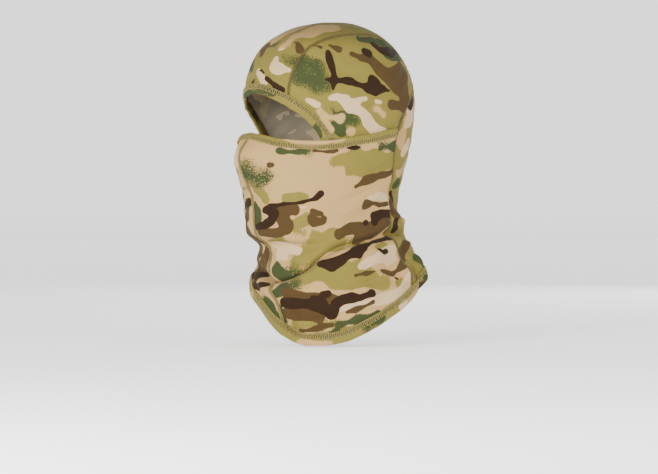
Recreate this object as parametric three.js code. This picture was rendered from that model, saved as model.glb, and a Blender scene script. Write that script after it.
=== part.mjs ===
// Hinged balaclava: a close hood with an open face, and a separate mask and neck front
// that is sewn in behind the ears and folds down from the face.
// Millimetres, +Z up, the face looks along -Y, the wearer's left is +X.
// The origin is the centre of the wearer's head at its widest section.
import * as THREE from 'three';

// ---- Driving sizes -------------------------------------------------------------
const HEAD_BREADTH = 156;      // across the widest section of the hood's inside
const HEAD_LENGTH = 187.0;     // front to back at the same section
const CROWN_HEIGHT = 86;       // widest section to the top
const NECK_DEPTH = 263.5;        // widest section down to the lowest point of the hem

const CLOTH = 0.8;             // knit thickness
const GAP = 0.3;               // clearance kept between neighbouring pieces
const THREAD = 0.6;            // thickness of a row of stitching

const CROWN_STRIP_SCALE = 1.0; // widens or narrows the strip over the top
const FACE_BINDING = 10.5;     // visible width of each folded binding
const MASK_BINDING = 8.0;
const HEM_BINDING = 12.0;
const MASK_ELASTIC = 4.2;      // tape inside the fold of the mask's binding
const SEAM_WIDTH = 4.6;        // flat seam stitching over a joined edge
const HOOD_SKIRT = 120;        // how far down the hood's sides run inside the mask
const NECK_TWIST = 24;         // degrees the hem is turned towards the wearer's left
const LABEL = { width: 34, height: 22, z: -62 };

// ---- The worn shape ------------------------------------------------------------
// Sections, bottom row last: height, widest point, half width, front, back, front power.
const SECTIONS = [
  [0, 12, 78, -93, 94, 2.15],
  [-30, 10, 76.5, -94, 92, 1.85],
  [-62, 6, 73, -109.5, 85.5, 1.62],
  [-82, 3, 69.5, -102, 80.5, 1.75],
  [-100, 1, 66, -93.8, 76, 2.0],
  [-118, 0, 64.5, -90.5, 75.5, 2.1],
  [-140, 2, 67, -90, 82, 2.1],
  [-158, 5, 73, -74, 90, 2.0],
  [-176, 9, 85, -75, 102, 2.0],
  [-192, 11, 91, -79, 105, 2.0],
  [-208, 11, 94, -83, 102, 2.0],
  [-240, 11, 95, -87, 102, 2.0],
  [-275, 11, 95, -89, 102, 2.0],
].reverse();
const DOME_POWER = 2.2;
const BACK_POWER = 2.15;
const WX = HEAD_BREADTH / 156;
const WY = HEAD_LENGTH / 187;
const WZ = NECK_DEPTH / 263.5;
const RAD = Math.PI / 180;

// Angle of the crown seam from the middle line: position along the strip, degrees.
// Up to 180 the position is the angle over the top from the brow, then millimetres down.
const SEAM = [
  [-3, 29], [10, 29], [45, 29.2], [60, 31], [84, 33], [100, 31.5], [120, 27.5], [150, 27],
  [165, 31],
  [180, 45], [193, 53.5], [210, 59], [228, 60.5], [252, 59.5], [295, 55.5], [318, 57.5],
  [360, 59], [470, 59],
];
// Face opening down the cheek: height, degrees from the front.
const CHEEK = [
  [-125, 94], [-100, 88], [-85, 83.5], [-65, 74], [-52, 62.5], [-41.4, 53], [-33.8, 49.8],
  [-17.4, 40.7], [-10, 34.8], [-4.2, 29],
];
// Top edge of the mask and bottom edge of the neck: degrees from the front, height.
const MASK_TOP = [
  [0, -35.5], [13, -38], [23, -40.8], [42, -42], [59, -41.2], [71, -38.7], [96, -33.6],
  [121, -28],
];
const HEM = [
  [-180, -178], [-135, -174], [-90, -180], [-60, -189], [-32, -202.5], [-19, -211],
  [-7, -220], [4, -230.5], [12.5, -239.5], [24.5, -251], [43, -261.3], [55, -261],
  [68.6, -255], [80.7, -246], [90, -238], [101, -229], [119, -213], [129, -204],
  [148, -189], [180, -178],
];
// The deep fold where the neck meets the collar: degrees from the front, height.
const CREASE = [[-40, -176], [12, -191], [37, -179], [43, -173], [59, -161], [68, -156],
  [81, -152], [102, -147], [125, -141]];

// Smooth curve through a table of [x, y] rows.
function curve(table, q, col = 1) {
  const n = table.length;
  if (q <= table[0][0]) return table[0][col];
  if (q >= table[n - 1][0]) return table[n - 1][col];
  let i = 0;
  while (table[i + 1][0] < q) i++;
  const slope = (k) => (table[k + 1][col] - table[k][col]) / (table[k + 1][0] - table[k][0]);
  const tangent = (k) => {
    if (k === 0 || k === n - 1) return 0;
    const a = slope(k - 1), b = slope(k);
    return a * b <= 0 ? 0 : (2 * a * b) / (a + b);
  };
  const h = table[i + 1][0] - table[i][0], t = (q - table[i][0]) / h;
  const t2 = t * t, t3 = t2 * t;
  return (2 * t3 - 3 * t2 + 1) * table[i][col] + (t3 - 2 * t2 + t) * h * tangent(i)
    + (3 * t2 - 2 * t3) * table[i + 1][col] + (t3 - t2) * h * tangent(i + 1);
}
const smooth = (a, b, x) => {
  const t = Math.min(1, Math.max(0, (x - a) / (b - a)));
  return t * t * (3 - 2 * t);
};
const vec = (x, y, z) => new THREE.Vector3(x, y, z);

// Zero on the worn shape, negative inside.
function form(p) {
  const z = Math.min(p.z, 0) / WZ;
  const high = Math.max(p.z, 0) / CROWN_HEIGHT;
  const middle = (curve(SECTIONS, z, 1) - 6 * smooth(0, 1, high)) * WY;
  const half = curve(SECTIONS, z, 2) * WX;
  const y = p.y - middle;
  const reach = y < 0 ? curve(SECTIONS, z, 1) - curve(SECTIONS, z, 3)
    : curve(SECTIONS, z, 4) - curve(SECTIONS, z, 1);
  const power = y < 0 ? curve(SECTIONS, z, 5) : BACK_POWER;
  const soft = y < 0 ? 5 : 0; // rounds the ridge down the middle of the front
  const x = (Math.hypot(p.x, soft) - soft) * half / (Math.hypot(half, soft) - soft);
  const r = Math.pow(Math.pow(x / half, power)
    + Math.pow(Math.abs(y) / (reach * WY), power), 1 / power);
  return Math.pow(Math.pow(r, DOME_POWER) + Math.pow(high, DOME_POWER), 1 / DOME_POWER) - 1;
}
function gradient(p) {
  const d = 0.5;
  const part = (axis) => {
    const a = p.clone(), b = p.clone();
    a[axis] += d;
    b[axis] -= d;
    return (form(a) - form(b)) / (2 * d);
  };
  return vec(part('x'), part('y'), part('z'));
}
const outward = (p) => gradient(p).normalize();
function shoot(from, direction) {
  let near = 0, far = 200 * Math.max(WX, WY);
  for (let k = 0; k < 34; k++) {
    const mid = (near + far) / 2;
    if (form(from.clone().addScaledVector(direction, mid)) < 0) near = mid;
    else far = mid;
  }
  return from.clone().addScaledVector(direction, near);
}
function settle(p) {
  const q = p.clone();
  for (let k = 0; k < 4; k++) {
    const g = gradient(q);
    q.addScaledVector(g, -form(q) / g.lengthSq());
  }
  return q;
}
const azimuth = (p) => Math.atan2(p.x, -p.y) / RAD;

// Folds of the worn collar, as a small push along the outward direction.
function fold(p) {
  if (p.z > -120) return 0;
  const a = azimuth(p);
  const along = p.z / WZ - curve(CREASE, a);
  const here = smooth(-45, 0, a) * (1 - smooth(120, 150, a));
  const groove = -4 * Math.exp(-((along / 8) ** 2)) * here;
  const roll = 2.5 * Math.exp(-(((along + 19) / 10) ** 2)) * here;
  return groove + roll;
}

// ---- Charts: from two numbers to a point on the worn shape -----------------------
// The strip over the top and down the back.
function crownPoint(s, degrees) {
  const a = degrees * RAD;
  if (s <= 180) {
    const f = s * RAD;
    return shoot(vec(0, 0, 0),
      vec(Math.sin(a), -Math.cos(a) * Math.cos(f), Math.cos(a) * Math.sin(f)));
  }
  return shoot(vec(0, 0, (180 - s) * WZ), vec(Math.sin(a), Math.cos(a), 0));
}
// Round the head: height below the widest section, elevation above it.
function roundPoint(degrees, h) {
  const a = degrees * RAD;
  if (h <= 0) return shoot(vec(0, 0, h * WZ), vec(Math.sin(a), -Math.cos(a), 0));
  const e = h / 85;
  return shoot(vec(0, 0, 0),
    vec(Math.sin(a) * Math.cos(e), -Math.cos(a) * Math.cos(e), Math.sin(e)));
}
const seamAngle = (s) => curve(SEAM, s) * (s < 190 ? CROWN_STRIP_SCALE : 1);
const backEdge = (h) => 180 - seamAngle(180 - h);
const twist = (h) => NECK_TWIST * smooth(-160, -245, h);

// Lift of the mask above the hood under it, dying away down the neck.
const MASK_LIFT = 3 * CLOTH + 5 * GAP + THREAD;
function lift(p) {
  const h = p.z / WZ;
  const behind = backEdge(h) - Math.abs(azimuth(p));
  const edge = smooth(-133, -122, h) * (CLOTH + GAP + 0.1);
  const full = MASK_LIFT * smooth(-162, -124, h);
  const low = 1 - smooth(-136, -124, h); // below the hood's skirt the seam lies flat
  return edge + (full - edge) * smooth(0.4 + 3.2 * low, 3.4 + 7 * low, behind);
}

// ---- Building closed meshes -------------------------------------------------------
function finish(name, points, faces, material) {
  let volume = 0;
  for (const [a, b, c] of faces) {
    volume += points[a].dot(points[b].clone().cross(points[c]));
  }
  const geometry = new THREE.BufferGeometry();
  geometry.setAttribute('position',
    new THREE.Float32BufferAttribute(points.flatMap((p) => [p.x, p.y, p.z]), 3));
  geometry.setIndex(faces.flatMap(([a, b, c]) => (volume > 0 ? [a, b, c] : [a, c, b])));
  geometry.computeVertexNormals();
  const mesh = new THREE.Mesh(geometry, material);
  mesh.name = name;
  return mesh;
}
// Pushes a point of the worn shape outwards by a depth plus whatever the folds add.
function push(p, depth) {
  return p.clone().addScaledVector(outward(p), depth + fold(p));
}
// A sheet of cloth from a grid of points on the worn shape.
function sheet(name, grid, inner, outer, material) {
  const rows = grid.length, cols = grid[0].length, points = [], faces = [];
  for (const depth of [inner, outer]) {
    for (const row of grid) for (const p of row) points.push(push(p, depth(p)));
  }
  const id = (layer, i, j) => (layer * rows + i) * cols + j;
  const quad = (a, b, c, d) => faces.push([a, b, c], [a, c, d]);
  for (let i = 0; i + 1 < rows; i++) {
    for (let j = 0; j + 1 < cols; j++) {
      for (const layer of [0, 1]) {
        const [a, b, c, d] = [id(layer, i, j), id(layer, i, j + 1),
          id(layer, i + 1, j + 1), id(layer, i + 1, j)];
        if (layer) quad(a, b, c, d);
        else faces.push([a, c, b], [a, d, c]);
      }
    }
  }
  const rim = (p, q) => quad(id(0, ...p), id(0, ...q), id(1, ...q), id(1, ...p));
  for (let j = 0; j + 1 < cols; j++) {
    rim([0, j], [0, j + 1]);
    rim([rows - 1, j + 1], [rows - 1, j]);
  }
  for (let i = 0; i + 1 < rows; i++) {
    rim([i + 1, 0], [i, 0]);
    rim([i, cols - 1], [i + 1, cols - 1]);
  }
  return finish(name, points, faces, material);
}
// A strip with a cross-section of [distance in from the edge, height] rows, swept along
// points of the worn shape; "within" holds one point on the cloth side of each.
function swept(name, path, within, section, material, closed = false, base = () => 0) {
  const n = path.length, m = section.length, points = [], faces = [];
  for (let i = 0; i < n; i++) {
    const before = path[closed ? (i + n - 1) % n : Math.max(i - 1, 0)];
    const after = path[closed ? (i + 1) % n : Math.min(i + 1, n - 1)];
    const along = after.clone().sub(before).normalize();
    const out = outward(path[i]);
    const across = out.clone().cross(along).normalize();
    if (across.dot(within[i].clone().sub(path[i])) < 0) across.negate();
    for (const [a, b] of section) {
      const p = settle(path[i].clone().addScaledVector(across, a));
      points.push(push(p, b + base(p)));
    }
  }
  for (let i = 0; i < (closed ? n : n - 1); i++) {
    for (let k = 0; k < m; k++) {
      const a = i * m + k, b = i * m + ((k + 1) % m);
      const c = ((i + 1) % n) * m + ((k + 1) % m), d = ((i + 1) % n) * m + k;
      faces.push([a, b, c], [a, c, d]);
    }
  }
  if (!closed) {
    const flat = section.map(([a, b]) => new THREE.Vector2(a, b));
    const last = (n - 1) * m;
    for (const [a, b, c] of THREE.ShapeUtils.triangulateShape(flat, [])) {
      const turned = THREE.ShapeUtils.isClockWise(flat);
      faces.push(turned ? [a, b, c] : [a, c, b]);
      faces.push(turned ? [last + a, last + c, last + b] : [last + a, last + b, last + c]);
    }
    // Caps face out when the walls do.
    const probe = faces[0];
    const wallTurns = section.length > 2 && THREE.ShapeUtils.isClockWise(flat);
    if (wallTurns && probe) for (const f of faces.slice(0, 2 * m * (n - 1))) f.reverse();
    if (wallTurns) for (const f of faces.slice(2 * m * (n - 1))) f.reverse();
  }
  return finish(name, points, faces, material);
}
// Folded binding: two legs and the fold, round an edge of cloth at height 0 to CLOTH,
// with its stitching between two distances in from the edge.
function binding(width, stitchFrom, stitchTo, ease = 0) {
  const t = CLOTH, g = GAP + ease, bevel = 0.45;
  const steps = [width, stitchTo, stitchFrom, stitchFrom / 2];
  const back = steps.slice().reverse();
  const top = 2 * t + g, end = -GAP - t;
  return {
    section: [
      ...steps.map((a) => [a, top]),
      [end + bevel, top], [end, top - bevel], [end, -g - t + bevel], [end + bevel, -g - t],
      ...back.map((a) => [a, -g - t]),
      ...steps.map((a) => [a, -g]),
      [-GAP, -g], [-GAP, t + g],
      ...back.map((a) => [a, t + g]),
    ],
    stitching: bar(stitchFrom, stitchTo, top + GAP + ease / 2, top + GAP + ease / 2 + THREAD),
  };
}
const bar = (a, b, low, high) => [
  [a, low], [(a + b) / 2, low], [b, low], [b, high], [(a + b) / 2, high], [a, high]];

// ---- Materials --------------------------------------------------------------------
const paint = (color, roughness) => new THREE.MeshStandardMaterial({ color, roughness });
const cloth = { crown: paint(0xa39a78, 0.95), side: paint(0x8d8a5c, 0.95),
  mask: paint(0xb39f7c, 0.95), band: paint(0x9c9468, 0.95) };
const thread = paint(0x8f8350, 0.7);
const rubber = paint(0x2f2c27, 0.85);
const satin = paint(0xe6e2d8, 0.6);

// ---- Grids ------------------------------------------------------------------------
const TOP_STEPS = 20, BACK_STEPS = 22, NECK_STEPS = 12, CROWN_COLUMNS = 16;
const TURN = 125; // where the seam passes from "over" to "down the back"
const SKIRT_S = 180 + HOOD_SKIRT;
const seamStops = [];
for (let i = 0; i < TOP_STEPS; i++) seamStops.push(-3 + (TURN + 3) * (i / TOP_STEPS));
for (let i = 0; i < BACK_STEPS; i++) seamStops.push(TURN + (SKIRT_S - TURN) * (i / BACK_STEPS));
for (let i = 0; i <= NECK_STEPS; i++) seamStops.push(SKIRT_S + i / NECK_STEPS);
const INSET = GAP / 2 + 0.06;

function crownGrid() {
  const last = seamStops.length - 1, neckFrom = TOP_STEPS + BACK_STEPS;
  return seamStops.map((stop, i) => Array.from({ length: CROWN_COLUMNS + 1 }, (_, j) => {
    const t = (2 * j) / CROWN_COLUMNS - 1;
    const brow = 9 * (1 - t * t) * Math.max(0, 1 - i / TOP_STEPS);
    let s = stop + brow;
    if (i > neckFrom) {
      const end = 180 - curve(HEM, t > 0 ? 180 - t * 59 : -180 - t * 59);
      s = SKIRT_S + (end - SKIRT_S) * ((i - neckFrom) / (last - neckFrom));
    }
    const reach = 80 * Math.sin(Math.min(seamAngle(s), 60) * RAD) + 30;
    return crownPoint(s, t * (seamAngle(s) - (INSET / reach) / RAD));
  }));
}
function sideGrid(sign) {
  const flat = (p) => {
    const h = p.z <= 0 ? p.z / WZ : 85 * Math.atan2(p.z, Math.hypot(p.x, p.y));
    return [azimuth(p), h];
  };
  const seam = (i) => flat(crownPoint(seamStops[i],
    seamAngle(seamStops[i]) + (INSET / 80) / RAD));
  const cheek = (v) => {
    const h = -HOOD_SKIRT + v * (HOOD_SKIRT - 4.2);
    return [curve(CHEEK, h) + 0.3, h];
  };
  const rows = BACK_STEPS, cols = TOP_STEPS;
  const top = (j) => (j === 0 ? cheek(1) : seam(j));
  const back = (i) => seam(TOP_STEPS + (rows - i)); // i counts up from the skirt
  const foot = (u) => {
    const a = cheek(0), b = back(0);
    return [a[0] + (b[0] - a[0]) * u, -HOOD_SKIRT];
  };
  return Array.from({ length: rows + 1 }, (_, i) => Array.from({ length: cols + 1 }, (_, j) => {
    const u = j / cols, v = i / rows;
    const q = [0, 1].map((k) => (1 - v) * foot(u)[k] + v * top(j)[k]
      + (1 - u) * cheek(v)[k] + u * back(i)[k]
      - (1 - u) * (1 - v) * cheek(0)[k] - u * (1 - v) * back(0)[k]
      - (1 - u) * v * cheek(1)[k] - u * v * back(rows)[k]);
    return roundPoint(sign * q[0], q[1]);
  }));
}
const MASK_ROWS = 28, MASK_COLUMNS = 20;
const acrossMask = (j) => (j < MASK_COLUMNS ? (j / (MASK_COLUMNS - 1)) * 0.97 : 1);
// The mask runs from the front seam (u = 0) to the back seam (u = 1).
function maskPoint(sign, u, v, drop, rear) {
  let h = -100, a = 0;
  for (let k = 0; k < 5; k++) {
    const r = 92;
    const front = twist(h) + sign * (INSET / r) / RAD;
    const inset = GAP / 2 + (rear - GAP / 2) * smooth(-134, -126, h);
    const back = sign * (backEdge(h) - ((inset + 0.06) / 82) / RAD);
    a = front + (back - front) * u;
    const high = curve(MASK_TOP, Math.abs(a)) - (CLOTH + GAP + drop) / WZ;
    h = high + (curve(HEM, a) - high) * v;
  }
  return roundPoint(a, h);
}
const maskGrid = (sign) => Array.from({ length: MASK_ROWS + 1 }, (_, i) => Array.from(
  { length: MASK_COLUMNS + 1 },
  (_, j) => maskPoint(sign, acrossMask(j), i / MASK_ROWS, MASK_ELASTIC + 0.7, 3.2)));

// ---- Assembly ---------------------------------------------------------------------
const hood = new THREE.Group();
hood.name = 'balaclava';
const add = (mesh) => hood.add(mesh);
const flatHood = () => 0, hoodTop = () => CLOTH;
const maskLow = (p) => lift(p), maskHigh = (p) => lift(p) + CLOTH;

const crown = crownGrid();
const side = { left: sideGrid(1), right: sideGrid(-1) };
const mask = { left: maskGrid(1), right: maskGrid(-1) };
add(sheet('crown_panel', crown, flatHood, hoodTop, cloth.crown));
for (const hand of ['left', 'right']) {
  add(sheet(`${hand}_side_panel`, side[hand], flatHood, hoodTop, cloth.side));
  add(sheet(`${hand}_mask_panel`, mask[hand], maskLow, maskHigh, cloth.mask));
}

// Face opening: up one cheek, over the brow, down the other.
const column = (grid, j) => grid.map((row) => row[j]);
const facePath = [...column(side.right, 0).slice(0, -1), ...crown[0],
  ...column(side.left, 0).slice(0, -1).reverse()];
const faceWithin = [...column(side.right, 1).slice(0, -1), ...crown[1],
  ...column(side.left, 1).slice(0, -1).reverse()];
const face = binding(FACE_BINDING, FACE_BINDING - 4.6, FACE_BINDING - 0.6, 0.15);
add(swept('face_binding', facePath, faceWithin, face.section, cloth.band));
add(swept('face_binding_stitching', facePath, faceWithin, face.stitching, thread));

// Mask top edge: from behind one ear, across the nose, to behind the other.
const maskEdge = (drop) => {
  const points = [];
  for (let j = 1 - MASK_COLUMNS; j < MASK_COLUMNS; j++) {
    const u = Math.min(acrossMask(Math.abs(j)), 0.955);
    points.push(maskPoint(j < 0 ? -1 : 1, u, 0, drop, 3.2));
  }
  return points;
};
const bandPath = maskEdge(0), bandWithin = maskEdge(10);
const band = binding(MASK_BINDING, MASK_BINDING - 3.2, MASK_BINDING - 0.5, 0.1);
add(swept('mask_binding', bandPath, bandWithin, band.section, cloth.band, false, lift));
add(swept('mask_elastic', bandPath, bandWithin,
  bar(0, MASK_ELASTIC, 0, CLOTH), rubber, false, lift));
add(swept('mask_binding_stitching', bandPath, bandWithin, band.stitching, thread,
  false, lift));

// Hem: once round the bottom.
const lastCrown = crown[crown.length - 1], beforeCrown = crown[crown.length - 2];
const foot = (grid, row) => grid[grid.length - 1 - row];
const hemPath = [...foot(mask.left, 0), ...lastCrown.slice().reverse(),
  ...foot(mask.right, 0).slice().reverse()];
const hemWithin = [...foot(mask.left, 1), ...beforeCrown.slice().reverse(),
  ...foot(mask.right, 1).slice().reverse()];
const hem = binding(HEM_BINDING, HEM_BINDING - 5.6, HEM_BINDING - 0.8, HEM_BINDING ** 2 / 288);
add(swept('hem_binding', hemPath, hemWithin, hem.section, cloth.band, true));
add(swept('hem_binding_stitching', hemPath, hemWithin, hem.stitching, thread, true));

// Flat seams: crown to sides, mask to back, and down the front.
const overHood = CLOTH + GAP + 0.2;
const away = (path, step) => path.map((p, i) => {
  const q = path[Math.min(i + 1, path.length - 1)], r = path[Math.max(i - 1, 0)];
  return p.clone().add(q.clone().sub(r).cross(outward(p)).setLength(step));
});
const seamBar = bar(-SEAM_WIDTH / 2, SEAM_WIDTH / 2, overHood, overHood + THREAD);
for (const [hand, sign] of [['left', 1], ['right', -1]]) {
  const seamLine = (stops) => stops.map((s) => crownPoint(s, sign * seamAngle(s)));
  const start = 7.6 + (FACE_BINDING - 10.5) * 0.7;
  const upper = seamLine([start,
    ...seamStops.filter((s) => s > start + 1 && s < SKIRT_S - 4), SKIRT_S - 3]);
  add(swept(`${hand}_crown_seam`, upper, away(upper, 5), seamBar, thread));
  const foot = 180 - curve(HEM, sign * 121);
  const lower = seamLine(Array.from({ length: NECK_STEPS + 1 },
    (_, i) => SKIRT_S + (foot - SKIRT_S) * (i / NECK_STEPS)).filter((s) => (
    s > SKIRT_S + 17 && s < foot - (HEM_BINDING + 3) / WZ)));
  add(swept(`${hand}_back_seam`, lower, away(lower, 5), seamBar, thread, false, () => 0.15));
}
const frontLine = mask.left.map((row, i) => settle(
  row[0].clone().add(mask.right[i][0]).multiplyScalar(0.5))).filter((p) => (
  p.z < -35.5 - MASK_BINDING - 2.4 && p.z > curve(HEM, NECK_TWIST) + HEM_BINDING + 5));
add(swept('front_seam', frontLine, away(frontLine, 5),
  bar(-SEAM_WIDTH / 2, SEAM_WIDTH / 2, overHood + 0.95, overHood + 0.95 + THREAD), thread,
  false, lift));

// Blank care label, sewn inside the back below the crown.
const labelGrid = Array.from({ length: 4 }, (_, i) => Array.from({ length: 6 }, (_, j) => (
  crownPoint(180 - LABEL.z + (LABEL.height * i) / 3,
    ((j / 5 - 0.5) * LABEL.width) / 85 / RAD))));
add(sheet('care_label', labelGrid, () => -GAP - 0.3 - 0.4, () => -GAP - 0.3, satin));

export default hood;
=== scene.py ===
import math
import random

import bmesh
import bpy
import numpy as np
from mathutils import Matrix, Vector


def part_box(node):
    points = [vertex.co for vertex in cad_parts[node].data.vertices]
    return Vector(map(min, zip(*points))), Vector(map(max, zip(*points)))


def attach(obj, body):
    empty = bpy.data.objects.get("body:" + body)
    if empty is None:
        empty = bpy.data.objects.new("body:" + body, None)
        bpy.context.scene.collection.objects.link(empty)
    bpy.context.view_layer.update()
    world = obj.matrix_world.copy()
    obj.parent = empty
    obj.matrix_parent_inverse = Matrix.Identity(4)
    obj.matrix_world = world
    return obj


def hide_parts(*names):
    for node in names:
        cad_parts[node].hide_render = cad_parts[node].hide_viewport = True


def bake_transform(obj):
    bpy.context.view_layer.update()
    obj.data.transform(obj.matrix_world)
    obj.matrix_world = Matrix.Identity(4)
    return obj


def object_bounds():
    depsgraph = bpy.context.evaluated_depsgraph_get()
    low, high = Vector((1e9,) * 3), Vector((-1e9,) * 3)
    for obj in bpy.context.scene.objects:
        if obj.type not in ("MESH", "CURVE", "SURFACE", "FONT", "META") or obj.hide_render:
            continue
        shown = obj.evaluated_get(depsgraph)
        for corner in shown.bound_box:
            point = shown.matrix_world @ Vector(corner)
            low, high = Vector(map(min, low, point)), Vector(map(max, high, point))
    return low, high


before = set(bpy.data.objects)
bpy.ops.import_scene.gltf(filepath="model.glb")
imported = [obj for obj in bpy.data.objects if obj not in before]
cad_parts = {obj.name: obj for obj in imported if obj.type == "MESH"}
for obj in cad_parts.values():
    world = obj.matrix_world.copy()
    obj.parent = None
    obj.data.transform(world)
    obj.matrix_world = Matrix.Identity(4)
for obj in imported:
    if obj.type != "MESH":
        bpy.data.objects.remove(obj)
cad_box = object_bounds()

# ---- Camera ---------------------------------------------------------------------
# A long lens from the wearer's left front, level with the middle of the balaclava.
SIDE_ANGLE, RISE_ANGLE = math.radians(58), math.radians(1.0)
AIM = np.array([0.0, 0.0, -0.147])
AWAY, SEEN_WIDTH = 7.0, 0.717
camera = bpy.data.objects.new("camera", bpy.data.cameras.new("camera"))
bpy.context.collection.objects.link(camera)
camera.data.sensor_width = 36
camera.data.lens = 36 * AWAY / SEEN_WIDTH
camera.location = AIM + AWAY * np.array([
    math.sin(SIDE_ANGLE) * math.cos(RISE_ANGLE),
    -math.cos(SIDE_ANGLE) * math.cos(RISE_ANGLE), math.sin(RISE_ANGLE)])
camera.rotation_euler = (math.pi / 2 - RISE_ANGLE, 0, SIDE_ANGLE)
bpy.context.scene.camera = camera

# ---- Room -----------------------------------------------------------------------
# A pale round floor that curves up into a wall on every side, and three soft lights.
FLOOR_Z = cad_box[0][2] - 0.002
ROOM, CORNER, ROOM_HEIGHT = 9.5, 3.0, 6.0
ROOM_POINTS = 72      # round each ring of the room


def ring_faces(rings, size, closed=False):
    """Quads that join each ring of points to the next."""
    i, k = np.arange(rings if closed else rings - 1)[:, None], np.arange(size)[None, :]
    onward, beside = (i + 1) % rings * size, (k + 1) % size
    return np.stack([i * size + k, i * size + beside, onward + beside, onward + k],
                    -1).reshape(-1, 4).tolist()


def new_material(name):
    """A material, with the nodes and links that its look is wired from."""
    material = bpy.data.materials.new(name)
    material.use_nodes = True
    nodes = material.node_tree.nodes
    return material, nodes, material.node_tree.links, nodes["Principled BSDF"]


def sweep_room():
    rise = [(ROOM - CORNER, 0.0)]
    rise += [(ROOM - CORNER + CORNER * math.sin(a), CORNER * (1 - math.cos(a)))
             for a in np.radians(np.arange(10, 91, 10))]
    rise.append((ROOM, ROOM_HEIGHT))
    around = [2 * math.pi * k / ROOM_POINTS for k in range(ROOM_POINTS)]
    verts = [(r * math.cos(a), r * math.sin(a), z) for r, z in rise for a in around]
    faces = [list(range(ROOM_POINTS))] + ring_faces(len(rise), ROOM_POINTS)
    mesh = bpy.data.meshes.new("room")
    mesh.from_pydata(verts, [], faces)
    for face in mesh.polygons[1:]:
        face.use_smooth = True
    room = bpy.data.objects.new("room", mesh)
    bpy.context.collection.objects.link(room)
    room.location = (0, 0, FLOOR_Z)
    paint, _, _, shader = new_material("pale_room")
    shader.inputs["Base Color"].default_value = (0.93, 0.93, 0.925, 1)
    shader.inputs["Roughness"].default_value = 0.95
    shader.inputs["Emission Color"].default_value = (1, 1, 0.995, 1)
    shader.inputs["Emission Strength"].default_value = 0.62
    mesh.materials.append(paint)


sweep_room()


def soft_light(name, azimuth, height, distance, size, power):
    lamp = bpy.data.lights.new(name, "AREA")
    lamp.shape, lamp.size, lamp.energy = "DISK", size, power
    lamp.color = (1.0, 0.985, 0.965)
    light = bpy.data.objects.new(name, lamp)
    light.visible_camera = False
    bpy.context.collection.objects.link(light)
    a = math.radians(azimuth)
    light.location = (distance * math.sin(a), -distance * math.cos(a), height)
    aim = np.array([0, 0, -0.09]) - np.array(light.location)
    light.rotation_euler = (math.acos(-aim[2] / np.linalg.norm(aim)), 0,
                            math.atan2(-aim[0], aim[1]))


soft_light("key", 34, 0.48, 3.2, 1.5, 165)
soft_light("fill", 100, 0.3, 3.0, 1.9, 50)
soft_light("rear", 215, 0.5, 2.4, 1.2, 16)
world = bpy.data.worlds.new("studio")
bpy.context.scene.world = world
world.use_nodes = True
world.node_tree.nodes["Background"].inputs["Color"].default_value = (1, 1, 1, 1)
world.node_tree.nodes["Background"].inputs["Strength"].default_value = 0.62

# ---- Crown panel ----------------------------------------------------------------
# One long piece of printed stretch knit, from the brow over the top of the head and
# down the back to the hem. It lies close on the head, so the worn shape of a head and
# neck is what gives it its form; the folds of the loose collar are pushed into that.
# Head sections: height, widest point, half width, front, back, squareness in front.
HEAD = [
    (-.275, .011, .095, -.089, .102, 2.0), (-.240, .011, .095, -.087, .102, 2.0),
    (-.208, .011, .094, -.083, .102, 2.0), (-.192, .011, .091, -.079, .105, 2.0),
    (-.176, .009, .085, -.075, .102, 2.0), (-.158, .005, .073, -.074, .090, 2.0),
    (-.140, .002, .067, -.090, .082, 2.1), (-.118, .000, .0645, -.0905, .0755, 2.1),
    (-.100, .001, .066, -.0938, .076, 2.0), (-.082, .003, .0695, -.102, .0805, 1.75),
    (-.062, .006, .073, -.1095, .0855, 1.62), (-.030, .010, .0765, -.094, .092, 1.85),
    (.000, .012, .078, -.093, .094, 2.15)]
CROWN_HEIGHT, DOME_POWER, BACK_POWER = .086, 2.2, 2.15
HEAD_RADIUS = .085    # an arc of the head, for sizes over the brow and across the back
BROW, BROW_ARC = -3, 9   # where the strip starts, and how far its front edge is bowed
# Crown seam: place along the strip (degrees over the top to 180, then millimetres
# down), and degrees out from the middle line.
SEAM = [(-3, 29), (10, 29), (45, 29.2), (60, 31), (84, 33), (100, 31.5), (120, 27.5),
        (150, 27), (165, 31), (180, 45), (193, 53.5), (210, 59), (228, 60.5), (252, 59.5),
        (295, 55.5), (318, 57.5), (360, 59), (470, 59)]
# Hem: degrees round from the front, height.
HEM = [(-180, -.178), (-135, -.174), (-90, -.180), (-60, -.189), (-32, -.2025),
       (-19, -.211), (-7, -.220), (4, -.2305), (12.5, -.2395), (24.5, -.251), (43, -.2613),
       (55, -.261), (68.6, -.2575), (80.7, -.2495), (90, -.242), (101, -.232),
       (119, -.2145), (129, -.204), (148, -.189), (180, -.178)]
# The deep fold between neck and collar: degrees from the front, height.
CREASE = [(-40, -.176), (12, -.191), (37, -.180), (43, -.174), (59, -.161),
          (68, -.156), (81, -.152), (102, -.147), (125, -.141)]
CLOTH, GAP = .0008, .0003
SKIRT = .120          # how far the hood's sides run down inside the mask
CROWN_INSET, SIDE_INSET, MASK_INSET, FRONT_INSET = .04, .05, .02, .13  # from seams, degrees


def curve(table, q, col=1):
    t = np.asarray(table, float)
    x, y = t[:, 0], t[:, col]
    q = np.clip(q, x[0], x[-1])
    i = np.clip(np.searchsorted(x, q, side="right") - 1, 0, len(x) - 2)
    h = np.diff(x)
    d = np.diff(y) / h
    m = np.zeros(len(x))
    both = d[:-1] * d[1:] > 0
    m[1:-1][both] = 2 * d[:-1][both] * d[1:][both] / (d[:-1] + d[1:])[both]
    s = (q - x[i]) / h[i]
    return ((2 * s**3 - 3 * s**2 + 1) * y[i] + (s**3 - 2 * s**2 + s) * h[i] * m[i]
            + (3 * s**2 - 2 * s**3) * y[i + 1] + (s**3 - s**2) * h[i] * m[i + 1])


def smooth(a, b, x):
    t = np.clip((x - a) / (b - a), 0, 1)
    return t * t * (3 - 2 * t)


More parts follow.
